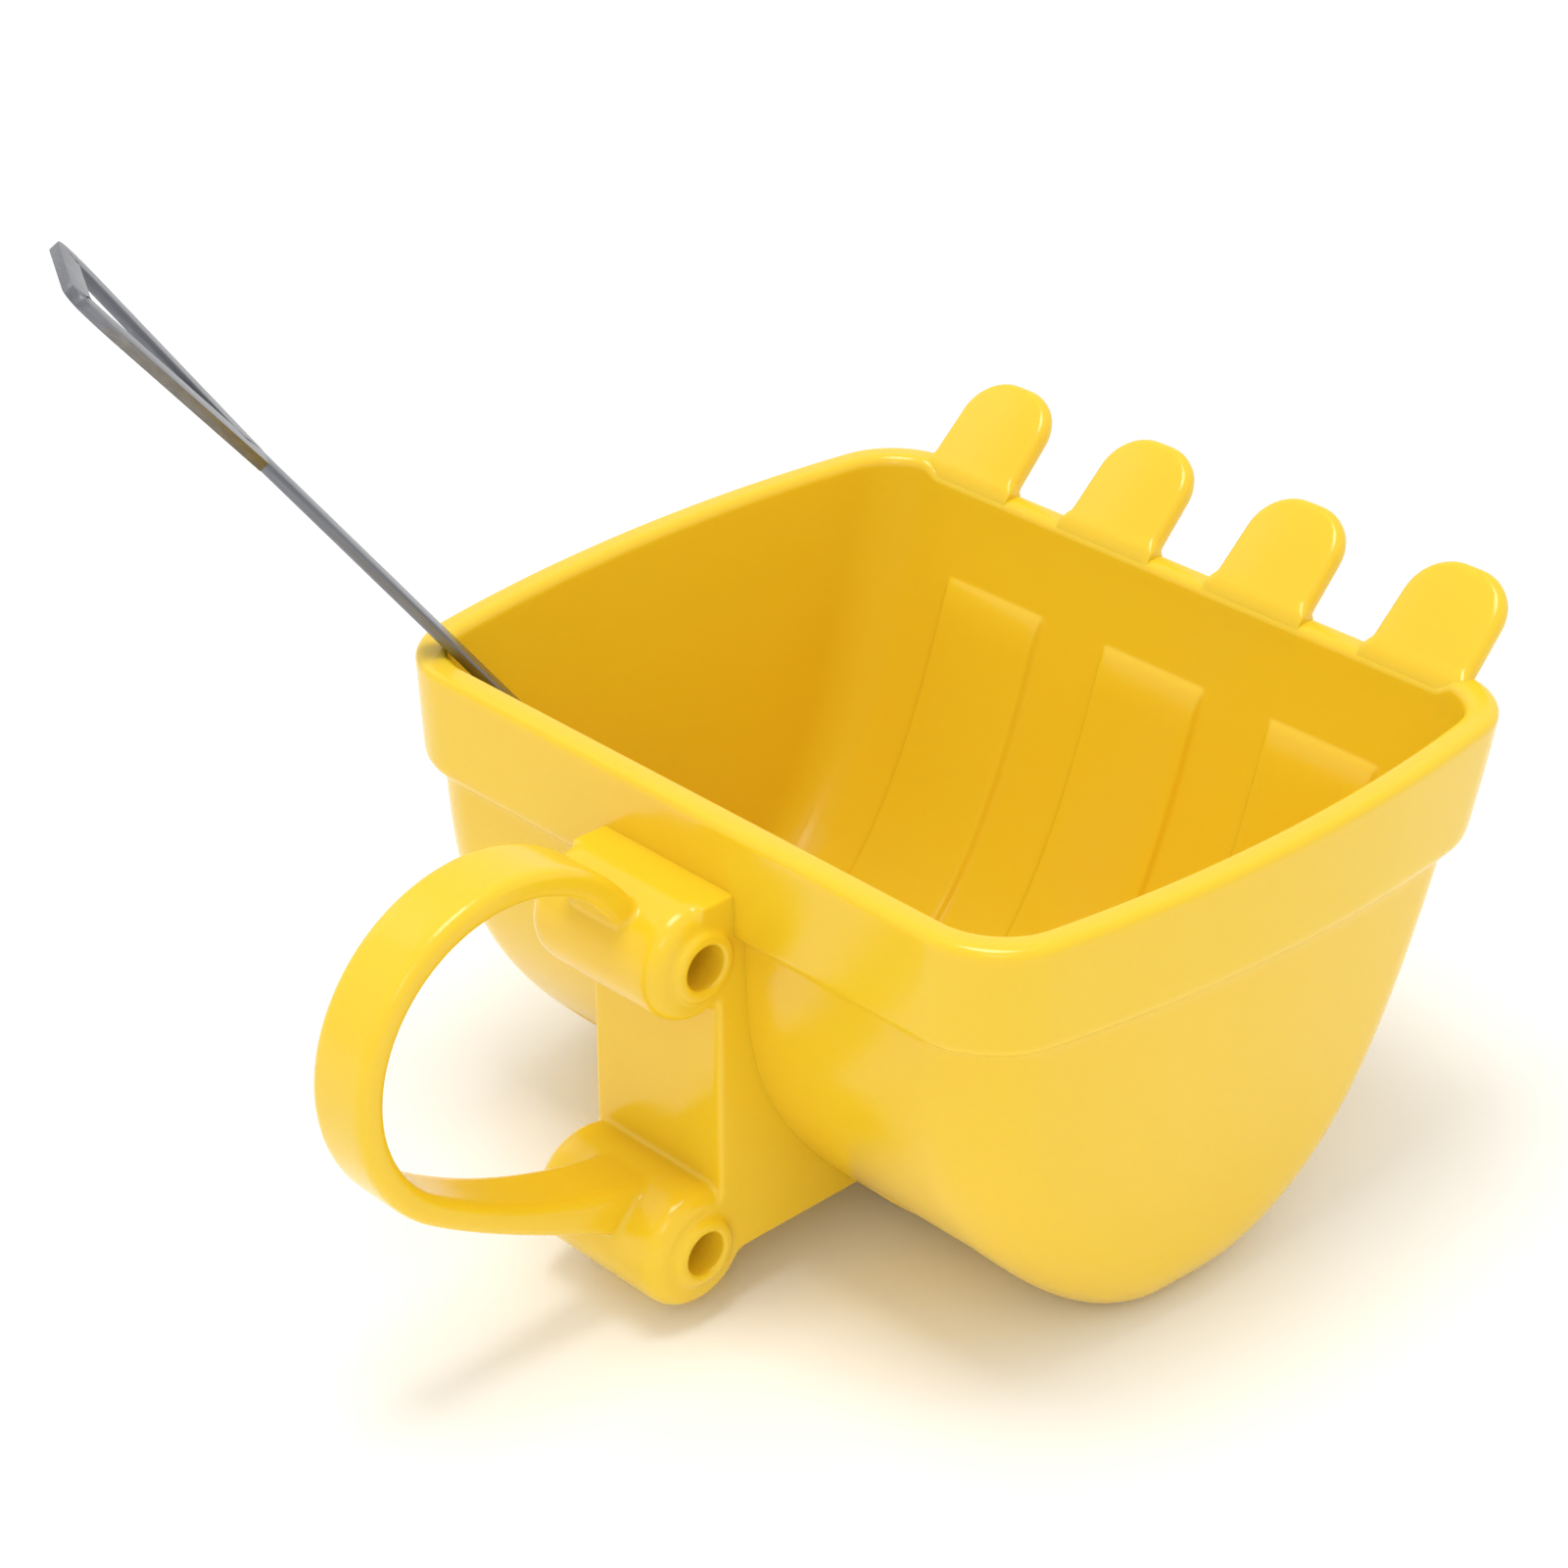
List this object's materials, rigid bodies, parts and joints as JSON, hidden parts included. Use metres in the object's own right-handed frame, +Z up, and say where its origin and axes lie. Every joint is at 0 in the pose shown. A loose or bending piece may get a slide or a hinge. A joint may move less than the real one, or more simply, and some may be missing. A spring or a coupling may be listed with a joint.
{
  "type": "bucket-shaped mug with spoon",
  "caption": "Novelty drinking mug shaped like an excavator bucket, with a finger loop at the back and a loose shovel spoon standing in it.",
  "frame": {"origin": "on the table, in the middle of the flat that the bucket rests on", "axes": "+X towards the teeth, +Y to the left, along the pin bores, +Z up"},
  "size_m": [0.1504, 0.1329, 0.121],
  "materials": {
    "yellow_plastic": "glossy moulded polypropylene",
    "spoon_steel": "satin stainless steel"
  },
  "bodies": {
    "mug": {"bucket_shell": "yellow_plastic", "rim_band": "yellow_plastic", "tooth_1": "yellow_plastic", "tooth_2": "yellow_plastic", "tooth_3": "yellow_plastic", "tooth_4": "yellow_plastic", "coupler_block": "yellow_plastic", "upper_pin_tube": "yellow_plastic", "lower_pin_tube": "yellow_plastic", "rear_foot": "yellow_plastic", "finger_loop": "yellow_plastic"},
    "spoon": {"spoon_blade": "spoon_steel", "spoon_shaft": "spoon_steel", "spoon_grip": "spoon_steel"}
  },
  "joints": [
    {"name": "spoon_lift", "type": "slide", "parent": "mug", "child": "spoon", "axis": [0, 0, 1], "range_m": [0, 0.1]}
  ]
}
